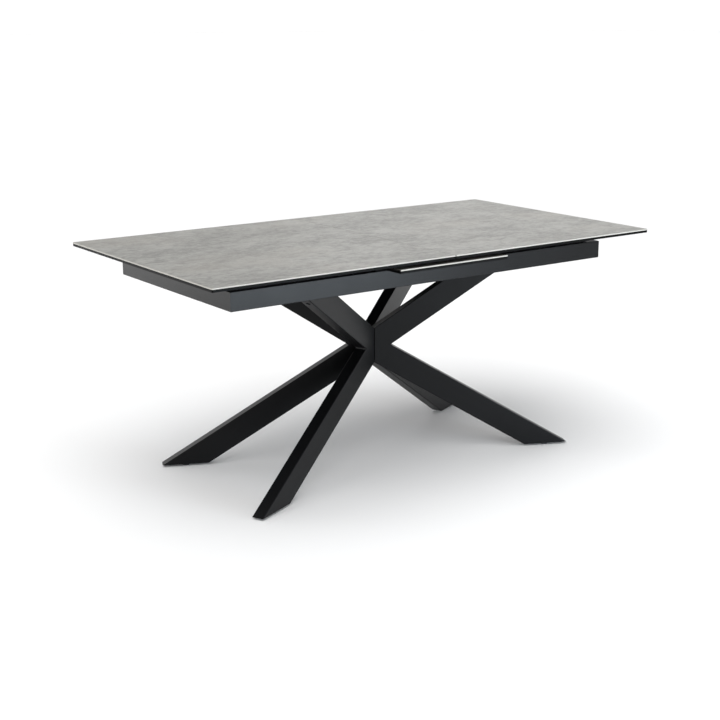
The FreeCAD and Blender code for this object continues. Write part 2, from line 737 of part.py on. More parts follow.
felt = body("felt_pattern", 0, 0, "apron_top + leaf_rest_height")
pad(felt, rectangle(sketch(felt, "Outline", "XY_Plane"),
                    ("-(leaf_length / 2 - felt_margin)", "-(leaf_rest_depth / 2 - felt_margin)"),
                    ("leaf_length / 2 - felt_margin", "leaf_rest_depth / 2 - felt_margin")), "felt_thickness")
copies("felt_strips", felt, [spot(0, f"{back} * apron_middle_y", 0) for end, back in ENDS])

rest_screw = turned_piece("rest_screw_pattern", [
    ("rest_screw_radius", "-rest_screw_length"), ("rest_screw_radius", "0"), ("rest_screw_head_radius", "0"),
    ("rest_screw_head_radius", "rest_screw_head_height")])
hex_pocket(rest_screw, "rest_screw_head_radius", "rest_screw_head_height", "rest_screw_head_height")
copies("leaf_rest_screws", rest_screw, [
    spot(f"{step} * rest_screw_reach", f"{back} * apron_middle_y",
         "apron_top + leaf_rest_height - rest_screw_head_height")
    for end, back in ENDS for step in REST_SCREWS])


# ---------------------------------------------------------------- carriers under each half

SHOES = ("inner_shoe_reach", "outer_shoe_reach")


def screw_spots(across):
    """Plan positions of the bracket screws of one half, as formulas."""
    for end, back in ENDS:
        for reach in SHOES:
            for step in (-1, 1):
                yield (back, f"{across} * ({reach} + {step} * bracket_screw_spacing / 2)",
                       f"{back} * bracket_screw_y")


screw = turned_piece("screw_pattern", [
    ("screw_head_radius", "-screw_head_height"), ("screw_head_radius", "0"),
    ("screw_radius", "0"), ("screw_radius", "screw_length")])
hex_pocket(screw, "screw_radius * 1.6", "-screw_head_height", "screw_head_height")

# Both are drawn for the back guide; the front ones are turned by 180 degrees.
bracket_low = "channel_bottom + channel_wall + shoe_clearance"
bracket = body("bracket_pattern")
pad(bracket, outline(sketch(bracket, "Profile", "YZ_Plane"), [
    ("bracket_y", bracket_low), ("bracket_y", "runner_bottom"), ("bracket_flange_y", "runner_bottom"),
    ("bracket_flange_y", "runner_bottom - bracket_thickness"),
    ("bracket_y - bracket_thickness", "runner_bottom - bracket_thickness"),
    ("bracket_y - bracket_thickness", bracket_low)]), "bracket_length", middle=True)
bracket_holes = sketch(bracket, "Holes", "XY_Plane", "runner_bottom - bracket_thickness / 2")
for step in (-1, 1):
    circle(bracket_holes, f"{step} * bracket_screw_spacing / 2", "bracket_screw_y",
           "screw_radius + thread_clearance")
pocket(bracket, bracket_holes, "2 * bracket_thickness")

shoe = body("shoe_pattern")
pad(shoe, rectangle(sketch(shoe, "Section", "YZ_Plane"), ("bracket_y", bracket_low), (
    "inner_y - channel_wall - shoe_clearance", "channel_top - channel_wall - shoe_clearance")),
    "shoe_length", middle=True)

for side, across in SIDES:
    start = "runner_start" if across > 0 else "-runner_end"
    for end, back in ENDS:
        runner = body(f"runner_{side}_{end}_body", start)
        drawing = sketch(runner, "Profile", "YZ_Plane")
        low_y = f"{back} * (runner_y - runner_width / 2)"
        high_y = f"{back} * (runner_y + runner_width / 2)"
        rectangle(drawing, (low_y, "runner_bottom"), (high_y, "top_under"))
        rectangle(drawing, (f"{low_y} + {back} * runner_wall", "runner_bottom + runner_wall"),
                  (f"{high_y} - {back} * runner_wall", "top_under - runner_wall"))
        pad(runner, drawing, "runner_end - runner_start")
        drawing = sketch(runner, "Holes", "XY_Plane", "runner_bottom")
        for owner, x, y in screw_spots(across):
            if owner == back:
                circle(drawing, f"{x} - ({start})", y, "screw_radius + thread_clearance")
        pocket(runner, drawing, "3 * runner_wall")
        node(runner, f"runner_{side}_{end}")

    carrier_spots = [spot(f"{across} * {reach}", 0, 0, 0 if back > 0 else 180)
                     for end, back in ENDS for reach in SHOES]
    copies(f"brackets_{side}", bracket, carrier_spots)
    copies(f"shoes_{side}", shoe, carrier_spots)
    copies(f"bracket_screws_{side}", screw,
           [spot(x, y, "runner_bottom - bracket_thickness") for back, x, y in screw_spots(across)])

    for name, x in (("inner", "inner_bar_x"), ("outer", "runner_end - bar_margin - bar_width")):
        label = f"{name}_bar_{side}"
        low_x = x if across > 0 else f"-({x} + bar_width)"
        span = "(runner_y - runner_width / 2)"
        outer = box(label + "_outer", (low_x, f"-{span}", "bar_under"),
                    ("bar_width", f"2 * {span}", "bar_height"))
        inner = box(label + "_hollow", (f"{low_x} + runner_wall", f"-{span} - 1", "bar_under + runner_wall"),
                    ("bar_width - 2 * runner_wall", f"2 * {span} + 2", "bar_height - 2 * runner_wall"))
        node(joined("Cut", label, [outer, inner]), label)

    lug = body(f"leaf_lugs_{side}_pattern", 0, 0, "top_under - lug_thickness")
    ends = ("-lug_root", "lug_reach") if across < 0 else ("-lug_reach", "lug_root")
    drawing = rectangle(sketch(lug, "Outline", "XY_Plane"),
                        (ends[0], "-lug_width / 2"), (ends[1], "lug_width / 2"))
    pad(lug, drawing, "lug_thickness")
    copies(f"leaf_lugs_{side}", lug,
           [spot(0, f"{across} * lug_far", 0), spot(0, f"-({across}) * lug_near", 0)])


# ---------------------------------------------------------------- gear and racks

def involute_gap():
    """Four corners of the gap between two teeth and a middle point on each flank, at angle 0."""
    teeth, module = number("gear_teeth"), number("gear_module")
    pitch = number("pitch_radius")
    pressure = math.radians(20)
    base = pitch * math.cos(pressure)
    half_gap = math.pi / teeth / 2 + number("gear_backlash") / 2 / pitch
    spread = math.tan(pressure) - pressure

    def flank(radius):
        """Half the gap's angle at a radius."""
        roll = math.acos(min(1, base / radius))
        return half_gap - spread + math.tan(roll) - roll

    root = pitch - 1.25 * module
    tip = pitch + module
    radii = (tip + 0.5, (tip + base) / 2 + 0.25, max(base, root))
    side = [(radius * math.cos(flank(radius)), radius * math.sin(flank(radius))) for radius in radii]
    return side, root


gear = body("pinion_body", 0, 0, "gear_bottom")
pad(gear, circle(sketch(gear, "Blank", "XY_Plane"), "0", "0", "pitch_radius + gear_module"), "gear_width")
flank_side, root_radius = involute_gap()
gap = sketch(gear, "Gap", "XY_Plane", "gear_width / 2")
upper = [FreeCAD.Vector(x, y, 0) for x, y in flank_side]
lower = [FreeCAD.Vector(x, -y, 0) for x, y in flank_side]
root_upper = FreeCAD.Vector(root_radius, upper[-1].y, 0)
root_lower = FreeCAD.Vector(root_radius, lower[-1].y, 0)
gap.addGeometry(Part.Arc(*upper), False)
gap.addGeometry(Part.LineSegment(upper[-1], root_upper), False)
gap.addGeometry(Part.LineSegment(root_upper, root_lower), False)
gap.addGeometry(Part.LineSegment(root_lower, lower[-1]), False)
gap.addGeometry(Part.Arc(*reversed(lower)), False)
gap.addGeometry(Part.LineSegment(lower[0], upper[0]), False)
one_gap = pocket(gear, gap, "2 * gear_width")
ring = gear.newObject("PartDesign::PolarPattern", "Teeth")
ring.Originals = [one_gap]
ring.Axis = (gap, ["N_Axis"])
ring.Angle = 360
ring.setExpression("Occurrences", formula("gear_teeth"))
gear.Tip = ring
doc.recompute()
boss = gear.newObject("PartDesign::Pad", "Boss")
boss.Profile = circle(sketch(gear, "BossCircle", "XY_Plane"), "0", "0", "gear_boss_radius")
boss.setExpression("Length", formula("gear_boss_height"))
boss.Reversed = True
bore = circle(sketch(gear, "Bore", "XY_Plane"), "0", "0", "axle_radius + axle_clearance")
pocket(gear, bore, "4 * gear_width")
gear.setExpression("Placement.Rotation.Angle", "-90 deg")
gear.setExpression("Placement.Rotation.Axis.z", "1")
node(gear, "pinion")

axle = turned_piece("pinion_axle_body", [
    ("bolt_radius", "-axle_thread_length"), ("bolt_radius", "0"), ("axle_radius", "0"),
    ("axle_radius", "gear_boss_height + gear_width + axle_head_gap"),
    ("axle_head_radius", "gear_boss_height + gear_width + axle_head_gap"),
    ("axle_head_radius", "gear_boss_height + gear_width + axle_head_gap + axle_head_height")])
hex_pocket(axle, "axle_radius", "gear_boss_height + gear_width + axle_head_gap + axle_head_height",
           "axle_head_height")
place(axle, 0, 0, "rail_top")
node(axle, "pinion_axle")

for side, across in SIDES:
    # Drawn for the left half, which has its teeth facing +Y; the right one is turned by 180 degrees.
    rack = body(f"rack_{side}_body", 0, 0, "gear_bottom", 0 if across < 0 else 180)
    tip_y = "-(pitch_radius - gear_module)"
    root_y = "-rack_root"
    reach = "(half_travel + rack_spare_teeth * tooth_pitch)"
    tail = "(inner_bar_x + bar_width)"
    drawing = rectangle(sketch(rack, "Bar", "XY_Plane"), (f"-{tail}", "-rack_far_y"), (reach, tip_y))
    pad(rack, drawing, "gear_width")
    count = "(floor(half_travel / tooth_pitch) + 2 * rack_spare_teeth)"
    first = "(-(rack_spare_teeth - 0.5) * tooth_pitch)"
    half_tip = "(tooth_pitch / 4 - gear_module * tan(20))"
    clear = rectangle(sketch(rack, "Plain", "XY_Plane", "gear_width / 2"),
                      (f"-{tail} - 1", root_y), (f"{first} - tooth_pitch / 4", f"{tip_y} + 1"))
    pocket(rack, clear, "2 * gear_width")
    wide = "(tooth_pitch / 4 + (gear_module + 1) * tan(20))"
    narrow = "(tooth_pitch / 4 - gear_module * 1.25 * tan(20))"
    drawing = outline(sketch(rack, "Gap", "XY_Plane", "gear_width / 2"), [
        (f"{first} - {wide}", f"{tip_y} + 1"), (f"{first} + {wide}", f"{tip_y} + 1"),
        (f"{first} + {narrow}", root_y), (f"{first} - {narrow}", root_y)])
    cut = pocket(rack, drawing, "2 * gear_width")
    row = rack.newObject("PartDesign::LinearPattern", "Teeth")
    row.Originals = [cut]
    row.Direction = (drawing, ["H_Axis"])
    row.Mode = "Spacing"
    row.setExpression("Offset", formula("tooth_pitch"))
    row.setExpression("Occurrences", formula(count))
    rack.Tip = row
    node(rack, f"rack_{side}")

    post_x = f"-({tail})" if across < 0 else f"{tail} - rack_bracket_length"
    post_y = "-rack_far_y" if across < 0 else "rack_root"
    post = box(f"rack_bracket_{side}_block", (post_x, post_y, "gear_bottom + gear_width"),
               ("rack_bracket_length", "rack_back", "bar_under - gear_bottom - gear_width"))
    node(post, f"rack_bracket_{side}")

doc.recompute()
for thing in doc.Objects:
    if "Invalid" in thing.State or "Error" in thing.State:
        raise RuntimeError(f"{thing.Name} did not compute: {thing.State}")
for thing in nodes:
    if thing.Shape.isNull() or not thing.Shape.isValid():
        raise RuntimeError(f"{thing.Label} has no valid shape")
    thing.Shape.exportStep(f"parts/{thing.Label}.step")
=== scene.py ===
import json
import math

import bmesh
import bpy
from bpy.props import FloatProperty, FloatVectorProperty, IntProperty, PointerProperty
from bpy.types import Operator, Panel, PropertyGroup
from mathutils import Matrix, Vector


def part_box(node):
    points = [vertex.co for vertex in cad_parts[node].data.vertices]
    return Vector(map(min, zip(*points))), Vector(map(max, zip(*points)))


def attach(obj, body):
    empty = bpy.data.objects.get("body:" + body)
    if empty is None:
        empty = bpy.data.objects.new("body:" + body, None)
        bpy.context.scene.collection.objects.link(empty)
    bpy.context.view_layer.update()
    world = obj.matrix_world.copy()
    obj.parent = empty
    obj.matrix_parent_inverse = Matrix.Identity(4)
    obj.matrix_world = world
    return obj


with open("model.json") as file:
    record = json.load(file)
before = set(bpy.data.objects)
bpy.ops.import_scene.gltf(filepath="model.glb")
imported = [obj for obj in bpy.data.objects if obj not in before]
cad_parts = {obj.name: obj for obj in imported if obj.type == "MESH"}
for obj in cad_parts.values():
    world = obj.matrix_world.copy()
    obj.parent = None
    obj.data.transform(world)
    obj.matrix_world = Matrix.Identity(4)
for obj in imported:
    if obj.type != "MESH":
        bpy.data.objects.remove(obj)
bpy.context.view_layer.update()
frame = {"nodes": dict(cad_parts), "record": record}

bl_info = {
    "name": "Extendable dining table finish",
    "version": (1, 0, 0),
    "blender": (4, 5, 0),
    "location": "3D View > Sidebar > Table",
    "description": "Gives the table its finishes, lays its welds and sets up the studio",
    "category": "Object",
}

SLOTS = {part["node"]: part["material_slot"] for part in frame["record"]["subparts"]}

# Edges closer to the seam than this get the black seal, which also paints the shade under the top: those at
# the seam and the long edges of the leaf.
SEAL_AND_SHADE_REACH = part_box("ceramic_leaf")[1].x + 0.02
SEAL_AND_SHADE_FADE = 0.01

# A face is bare where its normal reaches less far up than this, and gets the black seal with its painted
# shade where it reaches further along.
UPRIGHT = (0.30, 0.75)
ALONG = (0.22, 0.50)

# How closely a corner point of a mesh has to lie on a line or a level to count as on it.
NEAR = 0.0005
SAME = 0.00001

# A weld bead's ripples and the width it starts with, as shares of its radius.
RIPPLE_DEPTH = 0.13
START_WIDTH = 0.35
STEPS_PER_RIPPLE = 4

# How far beads lie outside a crotch or sunk into a rail's corners, as shares of their radius.
CROTCH_OUT = 1.1
RAIL_SINK = 0.35
UNDER_RAIL_DROP = 0.2

# How far from a rail's edges its beads stop, in metres.
SIDE_MARGIN = 0.002
UNDER_MARGIN = 0.003


# ---------------------------------------------------------------- shader maths

class Value:
    """One number of a node tree, held as an output socket. Arithmetic on it adds Math nodes."""

    def __init__(self, nodes, socket):
        self.nodes = nodes
        self.socket = socket

    def math(self, operation, *numbers, clamp=False):
        settings = {"operation": operation, "use_clamp": clamp}
        return self.nodes.value("ShaderNodeMath", settings, dict(enumerate(numbers)))

    def __add__(self, other):
        return self.math("ADD", self, other)

    def __sub__(self, other):
        return self.math("SUBTRACT", self, other)

    def __mul__(self, other):
        return self.math("MULTIPLY", self, other)

    def __radd__(self, other):
        return self.math("ADD", other, self)

    def __rsub__(self, other):
        return self.math("SUBTRACT", other, self)

    def __rmul__(self, other):
        return self.math("MULTIPLY", other, self)

    def clamped(self):
        return self.math("ADD", self, 0.0, clamp=True)

    def over(self, low, high):
        """0 below low, 1 above high and smooth between them."""
        settings = {"interpolation_type": "SMOOTHSTEP"}
        return self.nodes.value("ShaderNodeMapRange", settings,
                                {"Value": self, "From Min": low, "From Max": high})


class Nodes:
    """A node tree, and the method that adds any node to it."""

    # Where a Mix node keeps its two colours and their mixture.
    FIRST_COLOUR, SECOND_COLOUR, MIXED_COLOUR = 6, 7, 2

    def __init__(self, tree):
        self.tree = tree

    def node(self, kind, settings=None, sockets=None):
        made = self.tree.nodes.new(kind)
        for name, setting in (settings or {}).items():
            setattr(made, name, setting)
        for name, given in (sockets or {}).items():
            self.feed(made.inputs[name], given)
        return made

    def feed(self, socket, given):
        given = given.socket if isinstance(given, Value) else given
        if isinstance(given, bpy.types.NodeSocket):
            self.tree.links.new(given, socket)
        else:
            socket.default_value = given

    def value(self, kind, settings=None, sockets=None, output=0):
        return Value(self, self.node(kind, settings, sockets).outputs[output])


class Shader(Nodes):
    """A new material with one Principled surface."""

    def __init__(self, name, finish=None):
        self.material = bpy.data.materials.new(name)
        self.material.use_nodes = True
        super().__init__(self.material.node_tree)
        self.surface = self.tree.nodes["Principled BSDF"]
        for socket, setting in (finish or {}).items():
            self.surface.inputs[socket].default_value = setting

    def place(self, scale=(1, 1, 1)):
        """The point on the piece, in metres, stretched by a scale."""
        where = self.node("ShaderNodeTexCoord").outputs["Object"]
        made = self.node("ShaderNodeMapping", {"vector_type": "POINT"}, {"Vector": where, "Scale": scale})
        return made.outputs[0]

    def reach(self, coordinate, axis):
        """How far the point on the piece, or its normal, reaches along one axis, whichever the side."""
        vector = self.node("ShaderNodeTexCoord").outputs[coordinate]
        part = self.value("ShaderNodeSeparateXYZ", None, {"Vector": vector}, axis)
        return part.math("ABSOLUTE", part)

    def noise(self, size, scale=(1, 1, 1), detail=2.0, rough=0.5, distortion=0.0):
        """Noise whose features are about that many metres across."""
        return self.value("ShaderNodeTexNoise", None, {
            "Vector": self.place(scale), "Scale": 1 / size, "Detail": detail, "Roughness": rough,
            "Distortion": distortion})

    def mix(self, factor, first, second, blend="MIX"):
        """Two colours mixed by a number."""
        made = self.node("ShaderNodeMix", {"data_type": "RGBA", "blend_type": blend}, {
            "Factor": factor, self.FIRST_COLOUR: first, self.SECOND_COLOUR: second})
        return made.outputs[self.MIXED_COLOUR]

    def grey(self, tone):
        """A number as a colour."""
        parts = {"Red": tone, "Green": tone, "Blue": tone}
        return self.node("ShaderNodeCombineColor", None, parts).outputs[0]

    def colour(self, given):
        self.feed(self.surface.inputs["Base Color"], given)

    def roughness(self, given):
        self.feed(self.surface.inputs["Roughness"], given)

    def bump(self, height, depth):
        """Relief of that many metres from a height between 0 and 1."""
        made = self.node("ShaderNodeBump", None, {"Strength": 1.0, "Distance": depth, "Height": height})
        self.feed(self.surface.inputs["Normal"], made.outputs[0])


def opaque(colour, share=1.0):
    """A colour for a socket, made lighter or darker by a share."""
    return (*[part * share for part in colour], 1.0)


def dress(names, material):
    """Give a material to those CAD nodes."""
    for name in names:
        materials = frame["nodes"][name].data.materials
        materials.clear()
        materials.append(material)


def made_of(slot):
    """The names of the CAD nodes in a material slot of the record."""
    return [name for name, own in SLOTS.items() if own == slot]


# ---------------------------------------------------------------- what a user would change

class StonewareSettings(PropertyGroup):
    colour: FloatVectorProperty(
        name="Face", description="Main tone of the printed face", subtype="COLOR",
        default=(0.292, 0.287, 0.266), min=0, max=1)
    shade: FloatVectorProperty(
        name="Shade", description="Tone of the darker clouds", subtype="COLOR",
        default=(0.185, 0.183, 0.170), min=0, max=1)
    warm: FloatVectorProperty(
        name="Warm patch", description="Tone of the faint warm patches", subtype="COLOR",
        default=(0.285, 0.266, 0.236), min=0, max=1)
    edge: FloatVectorProperty(
        name="Edge", description="Tone of the bare edge", subtype="COLOR",
        default=(0.475, 0.462, 0.425), min=0, max=1)
    # The black seal's tone, which also paints the shade under the top on the meeting edges.
    seal_shade: FloatVectorProperty(
        name="Seam seal", description="Tone of the black seal on the edges that meet", subtype="COLOR",
        default=(0.012, 0.011, 0.010), min=0, max=1)
    cloud: FloatProperty(name="Cloud", description="Width of the clouds", subtype="DISTANCE", default=0.16)
    grain: FloatProperty(name="Grain", description="Width of the grain", subtype="DISTANCE", default=0.0016)
    speck: FloatVectorProperty(
        name="Speck", description="Tone of the fine dark specks", subtype="COLOR",
        default=(0.15, 0.15, 0.14), min=0, max=1)
    roughness: FloatProperty(
        name="Roughness", description="Roughness of the face", subtype="FACTOR", default=0.33, min=0,
        max=1)


class GlassSettings(PropertyGroup):
    colour: FloatVectorProperty(
        name="Glass", description="Tone of the lacquered glass", subtype="COLOR",
        default=(0.006, 0.006, 0.006), min=0, max=1)
    edge: FloatVectorProperty(
        name="Ground edge", description="Tone of the ground edge", subtype="COLOR",
        default=(0.003, 0.003, 0.003), min=0, max=1)


class PaintSettings(PropertyGroup):
    colour: FloatVectorProperty(
        name="Powder coat", description="Tone of the powder coat", subtype="COLOR",
        default=(0.0025, 0.0027, 0.0032), min=0, max=1)
    roughness: FloatProperty(
        name="Roughness", description="Roughness of the powder coat", subtype="FACTOR", default=0.34,
        min=0, max=1)
    grain: FloatProperty(
        name="Grain", description="Width of one speck of powder texture", subtype="DISTANCE",
        default=0.0007)


class WeldSettings(PropertyGroup):
    radius: FloatProperty(
        name="Bead", description="Radius of a weld bead", subtype="DISTANCE", default=0.0024)
    step: FloatProperty(
        name="Ripple", description="Distance between two ripples", subtype="DISTANCE", default=0.0016)
    sides: IntProperty(name="Sides", description="Points round a bead", default=10, min=6)


class StudioSettings(PropertyGroup):
    azimuth: FloatProperty(
        name="Azimuth", description="Direction of the camera round the table", default=-36.182)
    elevation: FloatProperty(
        name="Elevation", description="Height of the camera above the level, in degrees",
        default=14.836)
    camera: FloatVectorProperty(
        name="Camera", description="Where the camera stands", subtype="XYZ", unit="LENGTH",
        default=(-2.52500, -3.48776, 1.47175))
    lens: FloatProperty(
        name="Lens", description="Focal length in millimetres on a 36 mm sensor", default=66.145)
    shift: FloatProperty(
        name="Shift", description="Sideways shift of the lens, as a share of the frame",
        default=-0.02083)
    floor: FloatVectorProperty(
        name="Floor", description="Tone of the floor", subtype="COLOR", default=(0.88, 0.88, 0.88),
        min=0, max=1)
    walls: FloatProperty(
        name="Walls", description="Brightness of the studio walls near the floor line", default=1.15,
        min=0)
    ceiling: FloatProperty(
        name="Ceiling", description="Brightness of the studio ceiling", default=0.40, min=0)
    overhead: FloatProperty(
        name="Overhead light", description="Strength of the broad overhead light", default=2.4, min=0)
    front_panel: FloatProperty(
        name="Front panel", description="Power of the cool front panel in watts", default=84.0, min=0)
    end_panel: FloatProperty(
        name="End panel", description="Power of the panel at the left end in watts", default=20.5,
        min=0)
    back_panel: FloatProperty(
        name="Back panel", description="Power of the panel behind the right end in watts", default=8.0,
        min=0)
    right_panel: FloatProperty(
        name="Right panel", description="Power of the low panel at the right end in watts",
        default=4.4, min=0)


class TableSettings(PropertyGroup):
    stoneware: PointerProperty(type=StonewareSettings)
    glass: PointerProperty(type=GlassSettings)
    paint: PointerProperty(type=PaintSettings)
    weld: PointerProperty(type=WeldSettings)
    studio: PointerProperty(type=StudioSettings)


# ---------------------------------------------------------------- finishes

def side_mask(shader):
    """1 on upright faces and 0 on level ones."""
    return 1 - shader.reach("Normal", "Z").over(*UPRIGHT)


def seal_and_shade_mask(shader):
    """1 on the edges that meet at the seam or along the leaf, 0 on the outer ones; there the black seal is
    painted, also standing for the shade under the top.
    """
    outside = shader.reach("Object", "X").over(SEAL_AND_SHADE_REACH, SEAL_AND_SHADE_REACH + SEAL_AND_SHADE_FADE)
    return shader.reach("Normal", "X").over(*ALONG) * (1 - outside)


def stoneware(settings):
    """Matt porcelain slab with a cloudy cement print and a bare, pale edge."""
    shader = Shader("stoneware", {"Specular IOR Level": 0.45})
    cloud = shader.noise(settings.cloud, (0.7, 1.1, 1), 3.0, 0.5, 0.3)
    blotch = shader.noise(settings.cloud * 0.30, (0.8, 1.1, 1), 5.0, 0.62, 0.5)
    mottle = shader.noise(settings.cloud * 0.11, (0.8, 1.1, 1), 4.0, 0.65, 0.6)
    streak = shader.noise(settings.cloud * 0.05, (0.20, 1.2, 1), 4.0, 0.6, 0.4)
    patch = shader.noise(settings.cloud * 1.7, (0.8, 1.2, 1), 3.0, 0.5, 0.2)
    grain = shader.noise(settings.grain, (1, 1, 1), 3.0, 0.6)
    dark = (cloud * 0.20 + blotch * 0.26 + mottle * 0.32 + streak * 0.22).over(0.40, 0.60)
    face = shader.mix(dark, opaque(settings.colour), opaque(settings.shade))
    face = shader.mix(patch.over(0.48, 0.72) * 0.40, face, opaque(settings.warm))
    speck = shader.noise(settings.grain * 2.4, (0.6, 1, 1), 2.0, 0.5).over(0.62, 0.74)
    face = shader.mix(speck * 0.22, face, opaque(settings.speck))
    fleck = shader.noise(settings.cloud * 0.045, (1, 1, 1), 3.0, 0.6)
    tone = grain * 0.18 + fleck * 0.44 + 0.69
    face = shader.mix(1.0, face, shader.grey(tone), "MULTIPLY")
    bare = side_mask(shader)
    edge = shader.mix(grain * 0.4, opaque(settings.edge), opaque(settings.edge, 0.86))
    # The meeting edges get the black seal, painted as dark as the shade under the top, with a smoother
    # finish.
    seal_and_shade = bare * seal_and_shade_mask(shader)
    shader.colour(shader.mix(seal_and_shade, shader.mix(bare, face, edge), opaque(settings.seal_shade)))
    texture = dark * 0.08 + grain * 0.12 + settings.roughness
    shader.roughness((texture + bare * 0.22 - seal_and_shade * 0.25).clamped())
    shader.bump(grain * 0.5 + mottle * 0.5, 0.00012)
    return shader.material


def lacquered_glass(settings):
    """Tempered glass, black behind, with a ground and lightly polished edge."""
    shader = Shader("lacquered_glass", {"Specular IOR Level": 0.05})
    ripple = shader.noise(0.05, (1, 1, 1), 2.0)
    ground = shader.noise(0.0009, (1, 1, 3), 2.0)
    edge = side_mask(shader)
    shader.colour(shader.mix(edge, opaque(settings.colour), opaque(settings.edge)))
    shader.roughness((edge * 0.34 + ground * 0.10 + 0.06).clamped())
    shader.bump(ripple * 0.8 + ground * edge * 0.2, 0.00006)
    return shader.material


def powder_coat(settings):
    """Fine-textured anthracite powder coat on steel."""
    shader = Shader("powder_coat", {"Specular IOR Level": 0.16})
    speck = shader.noise(settings.grain, (1, 1, 1), 2.0, 0.55)
    orange_peel = shader.noise(settings.grain * 7, (1, 1, 1), 2.0, 0.5)
    haze = shader.noise(0.22, (1, 1, 1), 3.0, 0.55, 0.2)
    cover = (speck * 0.6 + haze * 0.5).over(0.35, 0.75)
    shader.colour(shader.mix(cover, opaque(settings.colour, 0.80), opaque(settings.colour, 1.35)))
    shader.roughness((speck * 0.10 + haze * 0.10 + settings.roughness - 0.08).clamped())
    shader.bump(speck * 0.65 + orange_peel * 0.35, 0.00007)
    return shader.material


def weld_coat(settings):
    """The same coat where it has flowed thick and glossy over a weld's ripples, with a painted glint: its
    colour is lifted up to three times lighter.
    """
    shader = Shader("weld_coat", {"Specular IOR Level": 0.85})
    flow = shader.noise(settings.grain * 5, (1, 1, 1), 2.0, 0.5, 0.4)
    # Painted glint: the bead's tone runs up to three times the coat's.
    shader.colour(shader.mix(flow, opaque(settings.colour), opaque(settings.colour, 3)))
    shader.roughness((flow * 0.14 + settings.roughness - 0.12).clamped())
    shader.bump(flow, 0.00008)
    return shader.material


def dull_black():
    """Dull black coat of the leaf's rests, with painted shade: near-black and almost without reflection,
    for the shade of the top they lie in.
    """
    shader = Shader("dull_black", {"Specular IOR Level": 0.03})
    speck = shader.noise(0.0008, (1, 1, 1), 2.0, 0.5)
    # Painted shade: near-black tones for the rests under the top.
    shader.colour(shader.mix(speck, opaque([0.0012] * 3), opaque([0.0032] * 3)))
    shader.roughness(speck * 0.10 + 0.62)
    shader.bump(speck, 0.00005)
    return shader.material


def zinc(name, colour, rough, scratch):
    """Bright zinc on steel, with the faint lines that rolling or turning leaves."""
    shader = Shader(name, {"Metallic": 1.0})
    line = shader.noise(0.0011, scratch, 2.0, 0.5)
    bloom = shader.noise(0.012, (1, 1, 1), 4.0, 0.6)
    red, green, blue = colour
    yellowed = opaque((red * 0.98, green * 0.93, blue * 0.80))
    shader.colour(shader.mix(bloom.over(0.45, 0.70) * 0.55, opaque(colour), yellowed))
    shader.roughness((line * 0.16 + bloom * 0.14 + rough).clamped())
    shader.bump(line, 0.00003)
    return shader.material


def extrusion():
    """Anodised aluminium with die lines along X."""
    shader = Shader("anodised_extrusion", {"Metallic": 1.0})
    line = shader.noise(0.0008, (0.01, 1, 1), 3.0, 0.6)
    haze = shader.noise(0.06, (1, 1, 1), 2.0)
    shader.colour(shader.mix(line * 0.5 + haze * 0.3, (0.60, 0.61, 0.62, 1), (0.46, 0.47, 0.48, 1)))
    shader.roughness(line * 0.18 + 0.26)
    shader.bump(line, 0.00004)
    return shader.material


# Each plastic's and rubber's tone and roughness, and the width and depth of the specks of its skin.
MOULDINGS = (
    ("nylon", (0.68, 0.67, 0.61), 0.38, 0.0010, 0.00004),
    ("rubber", (0.022, 0.022, 0.022), 0.66, 0.0008, 0.00008),
    ("glide_plastic", (0.020, 0.020, 0.021), 0.46, 0.0009, 0.00006),
)


def moulded(name, colour, rough, speck_size, depth):
    """Moulded plastic or rubber with a fine spark-eroded skin."""
    shader = Shader(name)
    speck = shader.noise(speck_size, (1, 1, 1), 2.0, 0.6)
    flow = shader.noise(0.018, (1, 1, 1), 2.0, 0.5, 0.8)
    shader.colour(shader.mix(speck * 0.4 + flow * 0.4, opaque(colour), opaque(colour, 0.78)))
    shader.roughness((flow * 0.12 + speck * 0.08 + rough).clamped())
    shader.bump(speck, depth)
    return shader.material


def felt():
    """Needled felt: tangled fibres, no weave."""
    shader = Shader("needled_felt", {"Sheen Weight": 0.35})
    fibre = shader.noise(0.0009, (0.45, 1, 1), 4.0, 0.7, 1.6)
    tuft = shader.noise(0.004, (1, 1, 1), 3.0, 0.6, 0.6)
    shader.colour(shader.mix(fibre * 0.6 + tuft * 0.4, (0.030, 0.031, 0.034, 1), (0.105, 0.105, 0.110, 1)))
    shader.roughness(fibre * 0.08 + 0.88)
    shader.bump(fibre * 0.7 + tuft * 0.3, 0.0004)
    return shader.material


class TABLE_OT_top(Operator):
    """Finish the stoneware and the glass of the halves and the leaf"""
    bl_idname = "table.top"
    bl_label = "Top and leaf"

    def execute(self, context):
        settings = context.scene.table
        dress(made_of("concrete_ceramic"), stoneware(settings.stoneware))
        dress(made_of("black_glass"), lacquered_glass(settings.glass))
        return {"FINISHED"}


class TABLE_OT_frame(Operator):
    """Coat the frame, the crossed base, the runners and the leaf's rests"""
    bl_idname = "table.frame"
    bl_label = "Frame and base"

    def execute(self, context):
        dress(made_of("black_steel"), powder_coat(context.scene.table.paint))
        # The rests get a near-black coat that paints the shade under the top.
        dress(("leaf_rest_front", "leaf_rest_back"), dull_black())
        return {"FINISHED"}


class TABLE_OT_hardware(Operator):
    """Finish the fasteners, brackets, guides, gear, stops, glides and felt"""
    bl_idname = "table.hardware"
    bl_label = "Hardware"

    def execute(self, context):
        turned = zinc("zinc_fasteners", colour=(0.62, 0.63, 0.64), rough=0.22, scratch=(1, 1, 6))
        rolled = zinc("zinc_sheet", colour=(0.56, 0.57, 0.58), rough=0.30, scratch=(0.05, 1, 1))
        dress(made_of("zinc_steel"), turned)
        dress(made_of("zinc_sheet"), rolled)
        dress(made_of("aluminium"), extrusion())
        for name, colour, rough, speck_size, depth in MOULDINGS:
            dress(made_of(name), moulded(name, colour, rough, speck_size, depth))
        dress(made_of("felt"), felt())
        return {"FINISHED"}


# ---------------------------------------------------------------- welds

